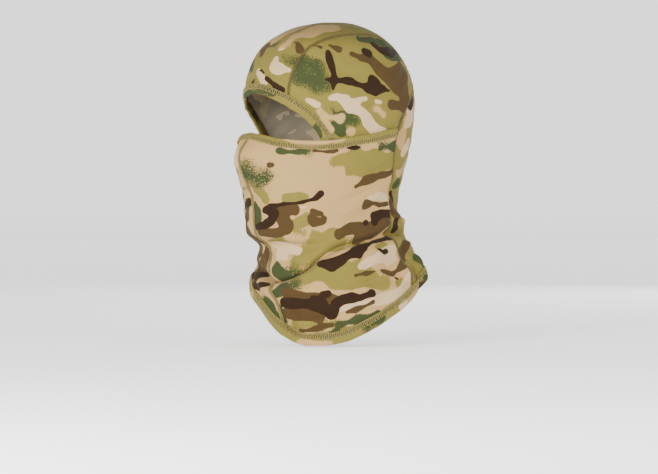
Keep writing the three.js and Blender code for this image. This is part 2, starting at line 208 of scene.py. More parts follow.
def bump(x, width):
    return np.exp(-(x / width) ** 2)


def head(p):
    x, y, z = p[..., 0], p[..., 1], p[..., 2]
    low, high = np.minimum(z, 0), np.maximum(z, 0) / CROWN_HEIGHT
    centre = curve(HEAD, low, 1)
    y = y - (centre - .006 * smooth(0, 1, high))
    half = curve(HEAD, low, 2)
    ahead = y < 0
    reach = np.where(ahead, centre - curve(HEAD, low, 3), curve(HEAD, low, 4) - centre)
    power = np.where(ahead, curve(HEAD, low, 5), BACK_POWER)
    soft = np.where(ahead, .005, 0.0)
    x = (np.hypot(x, soft) - soft) * half / (np.hypot(half, soft) - soft)
    r = ((x / half) ** power + (np.abs(y) / reach) ** power) ** (1 / power)
    return (r ** DOME_POWER + high ** DOME_POWER) ** (1 / DOME_POWER) - 1


def gradient(p):
    steps = .0005 * np.eye(3)
    return np.stack([head(p + s) - head(p - s) for s in steps], -1) / .001


def outward(p):
    g = gradient(p)
    return g / np.linalg.norm(g, axis=-1, keepdims=True)


def settle(p):
    for _ in range(3):
        g = gradient(p)
        p = p - g * (head(p) / (g * g).sum(-1))[..., None]
    return p


def shoot(start, direction):
    start, direction = np.broadcast_arrays(start, direction)
    near, far = np.zeros(start.shape[:-1]), np.full(start.shape[:-1], .2)
    for _ in range(26):
        middle = (near + far) / 2
        inside = head(start + direction * middle[..., None]) < 0
        near, far = np.where(inside, middle, near), np.where(inside, far, middle)
    return start + direction * near[..., None]


def strip_point(s, side):
    """Place on the strip over the top and down the back."""
    a, f = np.radians(side), np.radians(np.minimum(s, 180))
    way = np.stack([np.sin(a), -np.cos(a) * np.cos(f), np.cos(a) * np.sin(f)], -1)
    start = np.zeros_like(way)
    start[..., 2] = np.minimum(0, (180 - s) * .001)
    return shoot(start, way)


def round_point(turn, height):
    """Place round the head: degrees from the front, height (an arc above the brow)."""
    a, e = np.radians(turn), np.maximum(height, 0) / HEAD_RADIUS
    way = np.stack([np.sin(a) * np.cos(e), -np.cos(a) * np.cos(e), np.sin(e)], -1)
    start = np.zeros_like(way)
    start[..., 2] = np.minimum(height, 0)
    return shoot(start, way)


def turn_of(p):
    return np.degrees(np.arctan2(p[..., 0], -p[..., 1]))


def to_line(p, line, radii=None):
    """Distance from each point to a bent line, less the line's own radius."""
    best = np.full(p.shape[:-1], 1.0)
    where = np.zeros(p.shape[:-1])
    radii = np.zeros(len(line)) if radii is None else np.asarray(radii)
    for k in range(max(1, len(line) - 1)):
        a, b = line[k], line[min(k + 1, len(line) - 1)]
        ab = b - a
        t = np.clip(((p - a) @ ab) / max(ab @ ab, 1e-12), 0, 1)
        d = np.linalg.norm(p - a - t[..., None] * ab, axis=-1)
        d = d - (radii[k] + t * (radii[min(k + 1, len(line) - 1)] - radii[k]))
        near = d < best
        best, where = np.where(near, d, best), np.where(near, k + t, where)
    return best, where / max(1, len(line) - 1)


# Folds: height of the fold, its half width, then its line (degrees round, height).
FOLDS = [
    (.0056, .0078, [(126, -.120), (140, -.129), (154, -.135)]),
    (-.0062, .0038, [(122, -.141), (136, -.143), (152, -.147)]),
    (.0035, .0060, [(126, -.150), (140, -.155), (152, -.160)]),
    (.0030, .0080, [(122, -.078), (130, -.084), (138, -.092)]),
    (-.0022, .0040, [(123, -.096), (132, -.101), (140, -.104)]),
    (-.0030, .0035, [(24, -.232), (30, -.244), (36, -.252)]),
    (.0025, .0045, [(32, -.226), (38, -.240), (44, -.250)]),
    (.0020, .0055, [(40, -.238), (60, -.232), (84, -.216), (104, -.200)]),
    (-.0018, .0070, [(30, -.222), (52, -.216), (78, -.200), (100, -.186)]),
    (-.0014, .0060, [(60, -.114), (78, -.104), (100, -.094)]),
    (.0014, .0070, [(56, -.124), (78, -.114), (104, -.102)]),
    (-.0014, .0055, [(74, -.134), (90, -.124), (112, -.114)]),
    (.0018, .0050, [(-6, -.196), (4, -.204), (14, -.208)]),
    (-.0030, .0040, [(-24, -.172), (-8, -.186), (6, -.196)]),
    (.0030, .0060, [(112, -.176), (120, -.184), (124, -.200)]),
    (-.0040, .0045, [(128, -.168), (132, -.184), (131, -.200)]),
    (.0030, .0060, [(140, -.160), (143, -.178), (141, -.194)]),
    (-.0030, .0050, [(153, -.158), (156, -.172), (154, -.186)]),
    (-.0012, .0070, [(40, .046), (70, .034), (100, .030)]),
    (.0008, .0080, [(60, .010), (90, -.004), (120, -.020)]),
]
FOLD_GAIN = 1.3
FOLD_LINES = [(rise, width, round_point(np.array([k[0] for k in line], float),
                                        np.array([k[1] for k in line], float)))
              for rise, width, line in FOLDS]


def folds(p):
    """How far the worn cloth stands off the plain head shape at each place."""
    turn, z = turn_of(p), p[..., 2]
    along = z - curve(CREASE, turn)
    here = smooth(-45, 0, turn) * (1 - smooth(118, 136, turn)) * (z < -.11)
    slit = 1 + 1.1 * bump(turn - 27, 16)
    rise = here * (-.0072 * slit * bump(along, .0040) + .0042 * bump(along + .014, .0085)
                   + .0030 * bump(along - .010, .007))
    for height, width, line in FOLD_LINES:
        d, t = to_line(p, line)
        ends = np.clip(4 * t * (1 - t) + .12, 0, 1) ** .5
        rise = rise + FOLD_GAIN * height * bump(d, width) * ends
    x, y = p[..., 0], p[..., 1]
    slack = smooth(-.10, -.18, z)
    rise = rise + (.00035 + .0008 * slack) * (
        np.sin(x * 142 + z * 205 + 1.3 * np.sin(y * 60)) * np.sin(y * 118 - z * 96 + 2)
        + .6 * np.sin(x * 260 - y * 190 + z * 330 + 1))
    return rise


def worn(p, depth):
    """Put points of the plain head shape where the worn cloth lies. By the deep fold the
    neck's cloth also slips down, and hangs over the collar."""
    out = p + outward(p) * (depth + folds(p))[..., None]
    turn, along = turn_of(p), p[..., 2] - curve(CREASE, turn_of(p))
    here = (smooth(-10, 16, turn) * (1 - .75 * smooth(34, 60, turn))
            * (1 - smooth(100, 120, turn)))
    out[..., 2] -= .0078 * here * np.where(along > .0045, bump(along - .0045, .010),
                                           bump(along - .0045, .0030))
    return out


def seam_angle(s):
    return curve(SEAM, s)


def back_edge(height):
    return 180 - seam_angle(180 - height * 1000)


# Prints are drawn as strokes: (place, place, radius in millimetres) along a bent line.
COLOURS = ["olive", "green", "sand", "cream", "brown", "dark"]
STRAY_SIZE = 1.2


def strokes(mm, chart, lists):
    out = {}
    for colour in COLOURS:
        out[colour] = []
        for line in lists.get(colour, []):
            a = np.array([k[0] for k in line], float)
            b = np.array([k[1] for k in line], float)
            out[colour].append((chart(a, b * mm), np.array([k[2] for k in line]) * .001))
    return out


def stray_strokes(seed, box, count, chart, mm):
    """More of the same print for the places with no drawn strokes."""
    dice = random.Random(seed)
    lists = {colour: [] for colour in COLOURS}
    sizes = {"olive": (9, 17), "green": (6, 10), "sand": (5, 11), "cream": (4, 7),
             "brown": (5, 9), "dark": (2.6, 5.2)}
    for colour in COLOURS:
        for _ in range(int(count * (1.3 if colour in ("olive", "brown") else 1))):
            a, b = dice.uniform(box[0], box[1]), dice.uniform(box[2], box[3])
            low, high = sizes[colour]
            line = []
            for _ in range(dice.choice((2, 3, 3, 4))):
                line.append((a, b, STRAY_SIZE * dice.uniform(low, high)))
                a += dice.uniform(6, 15)
                b += dice.uniform(-9, 9)
            lists[colour].append(line)
    return strokes(mm, chart, lists)


def join_strokes(*groups):
    return {colour: sum((g[colour] for g in groups), []) for colour in COLOURS}


def linear(r, g, b):
    return tuple(((c / 255 + .055) / 1.055) ** 2.4 if c > 10 else c / 3294
                 for c in (r, g, b)) + (1,)


WALE, COURSE = .0011, .0009   # the width and the height of a stitch of the knit
INKS = {"tan": (.365, .232, .090, 1), "olive": (.158, .127, .025, 1),
        "green": (.033, .042, .013, 1), "sand": (.365, .232, .090, 1),
        "cream": (.450, .322, .178, 1), "brown": (.053, .031, .0095, 1),
        "dark": (.018, .008, .0025, 1)}


def printed_knit(name, pale_back_and_painted_light=0.0):
    """Camouflage print on fine jersey: soft olive and green, hard-edged other inks."""
    material, nodes, links, shader = new_material(name)

    def node(kind, **settings):
        n = nodes.new(kind)
        for key, value in settings.items():
            setattr(n, key, value)
        return n

    def attribute(title):
        return node("ShaderNodeAttribute", attribute_name=title)

    def math_node(operation, a, b=0.0):
        n = node("ShaderNodeMath", operation=operation)
        for socket, value in zip(n.inputs, (a, b)):
            if isinstance(value, (int, float)):
                socket.default_value = value
            else:
                links.new(value, socket)
        return n.outputs[0]

    rest = attribute("rest").outputs["Vector"]

    def noise(scale, detail=2.0, rough=.5):
        n = node("ShaderNodeTexNoise")
        n.inputs["Scale"].default_value = scale
        n.inputs["Detail"].default_value = detail
        n.inputs["Roughness"].default_value = rough
        links.new(rest, n.inputs["Vector"])
        return n.outputs["Fac"]

    def mixed(fac, a, b):
        n = node("ShaderNodeMix", data_type="RGBA")
        for socket, value in ((n.inputs["Factor"], fac), (n.inputs["A"], a), (n.inputs["B"], b)):
            if isinstance(value, (float, tuple)):
                socket.default_value = value
            else:
                links.new(value, socket)
        return n.outputs["Result"]

    def edge(field, soft):
        n = node("ShaderNodeMapRange", interpolation_type="SMOOTHSTEP")
        n.inputs["From Min"].default_value = -soft
        n.inputs["From Max"].default_value = soft
        links.new(field, n.inputs["Value"])
        return n.outputs["Result"]

    wobble = math_node("MULTIPLY", math_node("SUBTRACT", noise(58, 0.0), .5), 1.25)
    fine = math_node("MULTIPLY", math_node("SUBTRACT", noise(170, 1.0), .5), .16)
    shape = math_node("ADD", wobble, fine)
    # Some edges of the green and olive are crisp, and others fade out in fine dots.
    loose = node("ShaderNodeMapRange")
    loose.inputs["From Min"].default_value = .47
    loose.inputs["From Max"].default_value = .64
    links.new(noise(21, 0.0), loose.inputs["Value"])
    dots = node("ShaderNodeTexVoronoi")
    dots.inputs["Scale"].default_value = 760
    links.new(rest, dots.inputs["Vector"])
    grain = math_node("MULTIPLY", math_node("SUBTRACT", .46, dots.outputs["Distance"]),
                      loose.outputs["Result"])
    colour = INKS["tan"]
    settings = {"olive": (1.3, 1.3, .07), "green": (.8, 1.9, .05), "sand": (1.0, .9, .08),
                "cream": (.7, 0, .020), "brown": (.7, 0, .020), "dark": (.6, 0, .020)}
    for ink in COLOURS:
        wave, speckle, soft = settings[ink]
        field = math_node("ADD", attribute(ink).outputs["Fac"],
                          math_node("MULTIPLY", shape, wave))
        if ink == "green":  # a soft mist of the green round its patches
            mist = math_node("MULTIPLY", edge(math_node("ADD", field, .16), .36),
                             math_node("MULTIPLY", loose.outputs["Result"], .42))
            colour = mixed(mist, colour, INKS[ink])
        if speckle:
            field = math_node("ADD", field, math_node("MULTIPLY", grain, speckle))
        colour = mixed(edge(field, soft), colour, INKS[ink])
    patches = node("ShaderNodeMapRange")
    patches.inputs["To Min"].default_value = .93
    patches.inputs["To Max"].default_value = 1.07
    links.new(noise(34, 3.0), patches.inputs["Value"])
    # The colour is multiplied by random patches and by the tone attribute. The tone attribute is
    # painted shade: the colour is darker over the top of the head.
    shade = node("ShaderNodeMix", data_type="RGBA", blend_type="MULTIPLY")
    shade.inputs["Factor"].default_value = 1.0
    links.new(colour, shade.inputs["A"])
    links.new(math_node("MULTIPLY", patches.outputs["Result"], attribute("tone").outputs["Fac"]),
              shade.inputs["B"])
    colour = shade.outputs["Result"]
    # The inside face is mixed towards a pale colour: the back of the print is paler, and it is
    # also painted light for the shaded inside.
    if pale_back_and_painted_light:
        colour = mixed(pale_back_and_painted_light, colour, linear(206, 196, 172))
    # Knit: rows of small stitches across the cloth.
    grainline = node("ShaderNodeSeparateXYZ")
    links.new(attribute("knit").outputs["Vector"], grainline.inputs[0])
    wales = math_node("SINE", math_node("MULTIPLY", grainline.outputs["X"], 2 * math.pi / WALE))
    courses = math_node("SINE", math_node("MULTIPLY", grainline.outputs["Y"],
                                          2 * math.pi / COURSE))
    knit = math_node("ADD", math_node("MULTIPLY", wales, .6), math_node("MULTIPLY", courses, .4))
    fuzz = math_node("MULTIPLY", noise(1500, 1.0), .9)
    bumps = node("ShaderNodeBump")
    bumps.inputs["Strength"].default_value = .35
    bumps.inputs["Distance"].default_value = .00016
    links.new(math_node("ADD", knit, fuzz), bumps.inputs["Height"])
    links.new(bumps.outputs["Normal"], shader.inputs["Normal"])
    # The colour is darker where the knit's bump is low: painted shade in the hollows between
    # stitches.
    darker = node("ShaderNodeMapRange")
    darker.inputs["From Min"].default_value = -1
    darker.inputs["To Min"].default_value = .90
    darker.inputs["To Max"].default_value = 1.03
    links.new(knit, darker.inputs["Value"])
    knitted = node("ShaderNodeMix", data_type="RGBA", blend_type="MULTIPLY")
    knitted.inputs["Factor"].default_value = 1.0
    links.new(colour, knitted.inputs["A"])
    links.new(darker.outputs["Result"], knitted.inputs["B"])
    # Needle holes and the shadow under a row of loops.
    holes_and_shadow = math_node("MULTIPLY", attribute("stitch").outputs["Fac"], .55)
    sewn = mixed(holes_and_shadow, knitted.outputs["Result"], (.022, .016, .007, 1))
    links.new(sewn, shader.inputs["Base Color"])
    shader.inputs["Roughness"].default_value = .9
    shader.inputs["Specular IOR Level"].default_value = .15
    shader.inputs["Sheen Weight"].default_value = .03
    shader.inputs["Sheen Roughness"].default_value = .45
    shader.inputs["Sheen Tint"].default_value = (.95, .92, .82, 1)
    return material


outside_knit = printed_knit("printed_knit_outside")
# The inside face is paler: partly the back of the print, and partly painted light for the shaded
# inside.
inside_knit = printed_knit("printed_knit_inside", pale_back_and_painted_light=.42)


def mesh_object(name, verts, faces, attributes, materials, material_index=None):
    mesh = bpy.data.meshes.new(name)
    mesh.from_pydata(verts.tolist(), [], faces)
    for title, values in attributes.items():
        kind = "FLOAT" if values.ndim == 1 else "FLOAT_VECTOR"
        layer = mesh.attributes.new(title, kind, "POINT")
        key = "value" if values.ndim == 1 else "vector"
        layer.data.foreach_set(key, values.astype(np.float32).ravel())
    for material in materials:
        mesh.materials.append(material)
    if material_index is not None:
        mesh.polygons.foreach_set("material_index", material_index.astype(np.int32))
    mesh.polygons.foreach_set("use_smooth", np.ones(len(faces), bool))
    mesh.update()
    made = bpy.data.objects.new(name, mesh)
    bpy.context.collection.objects.link(made)
    return made


def print_attributes(base, drawn, knit, ground="tan"):
    # tone is painted shade: the colour is up to 42% darker over the top of the head.
    found = {"rest": base, "knit": knit, "stitch": np.zeros(len(base)),
             "tone": 1 - .42 * smooth(.054, .082, base[:, 2])}
    for colour in COLOURS:
        field = np.full(len(base), .02 if colour == ground else -.02)
        for line, radii in drawn[colour]:
            near = np.linalg.norm(base - line.mean(0), axis=-1) < (
                np.linalg.norm(line - line.mean(0), axis=-1).max() + radii.max() + .03)
            if near.any():
                a, b = field[near], -to_line(base[near], line, radii)[0]
                h = np.clip(.5 + (b - a) / .007, 0, 1)
                field[near] = a + (b - a) * h + .0035 * h * (1 - h)
        found[colour] = np.clip(field, -.02, .02) * 100
    return found


def arc_lengths(grid):
    across = np.linalg.norm(np.diff(grid, axis=1), axis=-1).cumsum(1)
    across = np.pad(across, ((0, 0), (1, 0)))
    across = across - across[:, -1:] / 2
    down = np.pad(np.linalg.norm(np.diff(grid, axis=0), axis=-1).cumsum(0), ((1, 0), (0, 0)))
    return np.stack([across, down, np.zeros_like(down)], -1)


def cloth_sheet(name, grid, low, high, drawn, keep=None, ground="tan", sewn=None):
    """A closed sheet of cloth: outer face, inner face and a thin edge all round."""
    rows, cols = grid.shape[:2]
    flat = grid.reshape(-1, 3)
    low = np.broadcast_to(low, grid.shape[:2]).ravel()
    high = np.broadcast_to(high, grid.shape[:2]).ravel()
    normal = outward(flat)
    outer, inner = worn(flat, high), worn(flat, low)
    ids = np.arange(rows * cols).reshape(rows, cols)
    cells = np.stack([ids[:-1, :-1], ids[:-1, 1:], ids[1:, 1:], ids[1:, :-1]], -1)
    kept = np.ones((rows - 1, cols - 1), bool) if keep is None else keep
    top = cells[kept]
    n = rows * cols
    # Which way round the outer face looks.
    a, b, c = outer[top[0, 0]], outer[top[0, 1]], outer[top[0, 2]]
    if np.dot(np.cross(b - a, c - a), normal[top[0, 0]]) < 0:
        top = top[:, ::-1]
    edges = np.concatenate([top[:, [0, 1]], top[:, [1, 2]], top[:, [2, 3]], top[:, [3, 0]]])
    key = edges[:, 0] * n + edges[:, 1]
    back = edges[:, 1] * n + edges[:, 0]
    rim = edges[~np.isin(key, back)]
    wall = np.stack([rim[:, 1], rim[:, 0], rim[:, 0] + n, rim[:, 1] + n], -1)
    faces = np.concatenate([top, top[:, ::-1] + n, wall])
    index = np.concatenate([np.zeros(len(top)), np.ones(len(top)), np.zeros(len(wall))])
    knit = arc_lengths(grid).reshape(-1, 3)
    found = print_attributes(flat, drawn, knit, ground)
    if sewn is not None:
        found["stitch"] = sewn.ravel()
    found = {k: np.concatenate([v, v]) for k, v in found.items()}
    verts = np.concatenate([outer, inner])
    used = np.zeros(2 * n, bool)
    used[faces.ravel()] = True
    new = np.cumsum(used) - 1
    made = mesh_object(name, verts[used], new[faces].tolist(),
                       {k: v[used] for k, v in found.items()},
                       [outside_knit, inside_knit], index)
    crisp = set(map(tuple, np.sort(new[np.concatenate([rim, rim + n])], axis=1).tolist()))
    for line in made.data.edges:
        line.use_edge_sharp = tuple(sorted(line.vertices)) in crisp
    flat_area = .5 * np.linalg.norm(np.cross(outer[top[:, 2]] - outer[top[:, 0]],
                                             outer[top[:, 3]] - outer[top[:, 1]]), axis=1).sum()
    return made, float(flat_area)


def seam_line(sign, start, end):
    s = np.arange(start, end, 1.5)
    return strip_point(s, sign * seam_angle(s))


CROWN_SEAMS = {sign: seam_line(sign, BROW, 400) for sign in (1, -1)}
FRONT_TWIST = 24.0


def twist(height):
    return FRONT_TWIST * smooth(-.160, -.245, height)


front_heights = np.arange(-.040, -.262, -.0015)
FRONT_SEAM = round_point(twist(front_heights), front_heights)


def nearest(p, line):
    best = np.full(len(p), 1.0)
    for start in range(0, len(line), 40):
        part = line[start:start + 40]
        best = np.minimum(best, np.linalg.norm(p[:, None] - part[None], axis=-1).min(1))
    return best


def seam_dip(grid, lines, dip=.0007, pucker=.00022):
    """Cloth is drawn down, and puckers a little, beside each sewn line."""
    flat = grid.reshape(-1, 3)
    sink, needle_holes_and_shadow = np.zeros(len(flat)), np.zeros(len(flat))
    for line in lines:
        d = nearest(flat, line)
        wave = np.sin(flat[:, 2] * 900 + flat[:, 1] * 700 + flat[:, 0] * 300)
        sink -= dip * bump(d, .0022) + pucker * wave * bump(d - .004, .004)
        # Darker colour in a band along each line: needle holes, and painted shadow under the
        # seam's threads.
        needle_holes_and_shadow = np.maximum(needle_holes_and_shadow, 1 - smooth(.0012, .0026, d))
    return sink.reshape(grid.shape[:2]), needle_holes_and_shadow.reshape(grid.shape[:2])


def crown_grid():
    stops = np.concatenate([np.arange(BROW, 180, 1.15), np.arange(180, 300, 1.7)])
    t = np.linspace(-1, 1, 112)
    bowed = np.maximum(0, 1 - (stops[:, None] - BROW) / 128)
    top = stops[:, None] + BROW_ARC * (1 - t**2) * bowed
    end = 180 - 1000 * curve(HEM, np.where(t > 0, 180 - t * 59, -180 - t * 59))
    w = np.linspace(0, 1, 46)[:, None]
    s = np.concatenate([top, 300 + (end - 300) * w])
    side = t * (seam_angle(s) - CROWN_INSET)
    return strip_point(s, side)


crown_print = join_strokes(
    strokes(1, strip_point, {
        "olive": [
            [(10, 0, 15), (25, 5, 17), (36, 12, 12)], [(14, 22, 9), (34, 25, 8)], [(84, 23, 8),
            (105, 23, 9), (125, 21, 10)], [(150, 10, 22), (172, 24, 18)], [(228, 34, 10),
            (262, 45, 8)], [(330, 20, 18)], [(320, 52, 8)]],
        "green": [
            [(32, 18, 3), (30, 23, 5), (31, 27, 5)], [(42, 2, 4), (41, -3, 4)], [(22, -9, 4),
            (26, -16, 6)], [(255, 47, 7), (268, 51, 8)], [(350, 40, 7), (360, 34, 6)]],
        "sand": [
            [(40, 12, 5), (52, 14, 9), (66, 18, 11), (80, 20, 9)], [(50, -4, 12), (66, -2, 12),
            (80, -12, 10)], [(190, 30, 12), (210, 20, 12)], [(204, 50, 8), (222, 52, 8)],
            [(246, 30, 9), (258, 52, 6)], [(304, 30, 14)]],
        "cream": [
            [(30, 14, 4.4), (25, 14, 6.6), (24, 20, 7), (24, 26, 3.6)], [(20, -1, 4.5),
            (16.5, 4, 5.5), (13, 10, 3.6)], [(37, 12, 2), (38, 14, 2)], [(166, 44, 5),
            (196, 43, 9), (206, 50, 6)], [(226, 40, 7), (236, 46, 5)]],
        "brown": [
            [(46, 15, 2), (47, 20, 3.5), (43, 26, 5)], [(33, -5, 6), (38, -8, 6)],
            [(290, 50, 6), (302, 48, 6)], [(338, 46, 8), (347, 56, 6)]],
        "dark": [
            [(16, 10, 1.6), (12, 18, 3.4), (9, 25, 3.4)], [(16, -3, 1.3), (20, -1, 1.4),
            (21, 3, 1.4), (19, 7, 1.2)], [(13, -5, 3), (15, -3, 3)], [(178, 40, 5),
            (184, 44, 5)], [(279, 51, 4), (284, 47, 3)], [(312, 50, 4), (318, 46, 3)]]}),
    stray_strokes(11, (60, 180, -25, 5), 5, strip_point, 1),
    stray_strokes(12, (185, 350, -55, 20), 13, strip_point, 1))

grid = crown_grid()
sink, needle_holes_and_shadow = seam_dip(grid, CROWN_SEAMS.values())
crown, crown_area = cloth_sheet("crown_cloth", grid, sink, CLOTH + sink, crown_print,
                                ground="olive", sewn=needle_holes_and_shadow)
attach(crown, "hood")
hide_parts("crown_panel")

# ---- Side panels ------------------------------------------------------------------
# Two printed knit panels over the temples and ears, sewn to the crown panel. Their front
# edges are the sides of the face opening, and they run on down inside the mask.
CHEEK = [(-.125, 94), (-.100, 88), (-.085, 83.5), (-.065, 74), (-.052, 62.5),
         (-.0414, 53), (-.0338, 49.8), (-.0174, 40.7), (-.010, 34.8), (-.0042, 29)]
SIDE_TURN = 125.0     # the corner of the panel, along the strip
TEMPLE = .0042        # the top of its front edge, below the brow


def side_grid(sign):
    def flat(s):
        p = strip_point(s, seam_angle(s) + SIDE_INSET)
        up = HEAD_RADIUS * np.arctan2(p[..., 2], np.hypot(p[..., 0], p[..., 1]))
        return np.stack([turn_of(p), np.where(p[..., 2] <= 0, p[..., 2], up)], -1)

    rows, cols = 130, 112
    u, v = np.linspace(0, 1, cols), np.linspace(0, 1, rows)
    top = flat(BROW + (SIDE_TURN - BROW) * u)
    back = flat(SIDE_TURN + (180 + SKIRT * 1000 - SIDE_TURN) * (1 - v))
    rise = -SKIRT + v * (SKIRT - TEMPLE)
    cheek = np.stack([curve(CHEEK, rise), rise], -1)
    top[0] = cheek[-1]
    foot = cheek[0] + (back[0] - cheek[0]) * u[:, None]
    U, V = u[None, :, None], v[:, None, None]
    q = ((1 - V) * foot[None] + V * top[None] + (1 - U) * cheek[:, None] + U * back[:, None]
         - (1 - U) * (1 - V) * cheek[0] - U * (1 - V) * back[0]
         - (1 - U) * V * cheek[-1] - U * V * back[-1])
    return round_point(sign * q[..., 0], q[..., 1])


side_print = {
    1: join_strokes(strokes(.001, round_point, {
        "olive": [
            [(32, 60, 18), (60, 44, 26), (90, 44, 30), (120, 34, 30), (130, -6, 22)],
            [(40, 10, 14), (60, -2, 12), (84, 10, 14)], [(110, -14, 16), (84, -36, 9)],
            [(66, -38, 10), (60, -70, 16), (100, -80, 20)]],
        "green": [
            [(36, 43, 9), (38, 28, 12), (50, 21, 11)], [(44, 38, 9), (51, 29, 9), (56, 17, 7)],
            [(96, 77, 4), (118, 73, 6), (135, 62, 7)], [(117, 52, 4), (140, 48, 6)],
            [(63, -24, 6), (68, -33, 6)], [(66, -15, 5), (79, -20, 6)], [(60, -7, 2.5),
            (62, -12, 2.5)]],
        "sand": [
            [(52, -10, 3), (57, -16, 4), (66, -18, 3.4)], [(56, -22, 4), (58, -30, 4)],
            [(98, -8, 5), (104, -14, 6)], [(76, -33, 4)], [(60, -64, 12), (84, -70, 10)]],
        "cream": [
            [(59, 4, 5), (64, 6, 5), (70, 2, 6), (75, -3, 5)], [(75, -3, 5), (84, 3, 4),
            (88, 4, 4)], [(78, -5, 5), (86, -12, 5), (91, -20, 7), (97, -29, 8)], [(97, -30, 7),
            (107, -31, 4)], [(42, 2, 1.8), (50, -3, 2.2)], [(98, 1, 3), (102, 0, 3)]],
        "brown": [
            [(80, 56, 2), (88, 52, 4), (97, 50, 5), (106, 38, 8), (114, 26, 11)],
            [(114, 26, 11), (125, 14, 14), (128, 0, 10)], [(116, 24, 12), (131, 32, 10)],
            [(112, -2, 6), (126, -4, 6)], [(40, 63, 3.4), (50, 62, 3.8)], [(58, 65, 2.2),
            (67, 60, 3)], [(123, -20, 3), (128, -27, 3)]],
        "dark": [
            [(57, 57, 2), (60, 42, 3.2), (62, 30, 3.8), (61, 14, 1.8)], [(55, 25, 2.8),
            (64, 24.5, 3), (77, 24, 4), (86, 18, 4), (91, 15, 5)], [(91, 15, 5), (98, 13, 7.5),
            (105, 14, 6.5), (111, 12, 2.5)], [(95, 27, 3.6), (99, 20, 6)], [(95, 59, 3.8),
            (98, 57, 3.8)], [(110, 68, 2), (115, 58, 4.5), (124, 55, 5), (135, 57, 5),
            (147, 50, 4)]]})),
    -1: stray_strokes(21, (-130, -40, -60, 75), 9, round_point, .001)}
for sign, hand in ((1, "left"), (-1, "right")):
    grid = side_grid(sign)
    sink, needle_holes_and_shadow = seam_dip(grid, [CROWN_SEAMS[sign]])
    made, area = cloth_sheet(f"{hand}_side_cloth", grid, sink, CLOTH + sink, side_print[sign],
                             ground="olive", sewn=needle_holes_and_shadow)
    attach(made, "hood")
    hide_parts(f"{hand}_side_panel")

# ---- Mask panels ------------------------------------------------------------------
# The front of the balaclava, from under the eyes down over the nose, chin and neck to the
# hem: two printed knit panels joined by a seam down the middle and sewn in behind the
# ears, over the hood's sides. They fold down with the mask's top edge.
MASK_TOP = [(0, -.0355), (13, -.038), (23, -.0408), (42, -.042), (59, -.0412),
            (71, -.0387), (96, -.0336), (121, -.028)]
THREAD = .0006
MASK_LIFT = 3 * CLOTH + 5 * GAP + THREAD
MASK_LEDGE = -.128    # the mask turns with its top edge above this height
BACK_STRIP = .80      # the part of its width, by the back seam, that stays behind
TAPE, TAPE_INSET = .0042, .0007   # the elastic's width, and its place in the fold
MASK_COLS, LEDGE_ROWS = 124, 62   # points of the mask across, and down to the ledge


def lift(p):
    """How far the mask lies off the head, over the hood inside it."""
    z = p[..., 2]
    behind = back_edge(z) - np.abs(turn_of(p))
    edge = smooth(-.133, -.122, z) * (CLOTH + GAP + .0001)
    full = (MASK_LIFT * smooth(-.162, -.124, z)
            * (1 - .40 * smooth(66, 104, np.abs(turn_of(p)))))
    low = 1 - smooth(-.136, -.124, z)
    return edge + (full - edge) * smooth(.4 + 3.2 * low, 3.4 + 7 * low, behind)


def mask_point(sign, u, v, drop=TAPE + TAPE_INSET):
    """u runs from the front seam to the back seam, v from the top to the ledge (1) to
    the hem (2)."""
    h, a = np.full(np.broadcast(u, v).shape, -.1), 0
    for _ in range(6):
        front = twist(h) + sign * FRONT_INSET
        back = sign * (back_edge(h) - MASK_INSET)
        a = front + (back - front) * u
        high = curve(MASK_TOP, np.abs(a)) - CLOTH - GAP - drop
        h = np.where(v < 1, high + (MASK_LEDGE - high) * v,
                     MASK_LEDGE + (curve(HEM, a) - MASK_LEDGE) * (v - 1))
    return round_point(a, h)


